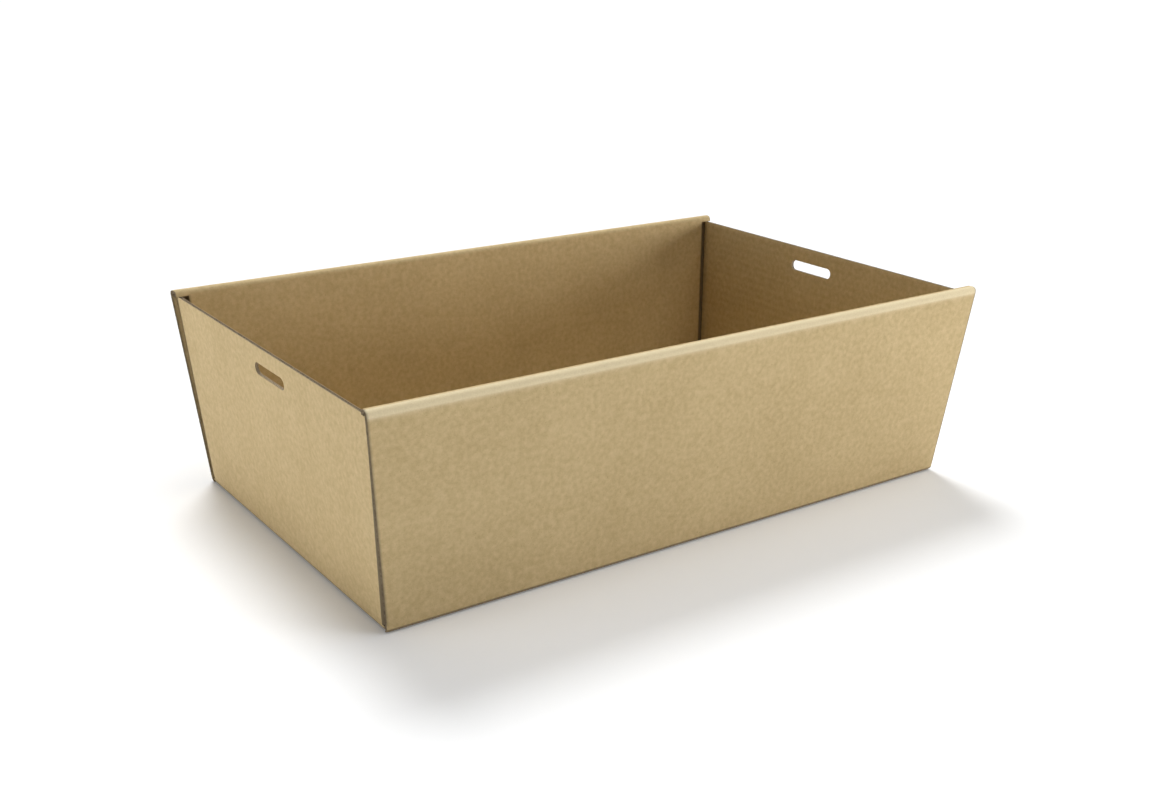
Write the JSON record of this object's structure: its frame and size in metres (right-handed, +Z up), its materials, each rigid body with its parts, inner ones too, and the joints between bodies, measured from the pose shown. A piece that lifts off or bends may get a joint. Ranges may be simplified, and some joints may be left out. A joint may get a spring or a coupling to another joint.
{
  "type": "cardboard tray box",
  "caption": "Open catering tray folded from one sheet of kraft corrugated board, with flared walls, rolled long rims and a lid slot in each end.",
  "frame": {"origin": "middle of the underside, on the surface that the tray stands on", "axes": "+X along the tray, +Y across it, +Z up out of its open top"},
  "size_m": [0.2706, 0.1708, 0.08],
  "materials": {
    "kraft_board": "matt brown kraft liner with darker cut edges"
  },
  "bodies": {
    "root": {"folded_tray": "kraft_board"}
  },
  "joints": []
}
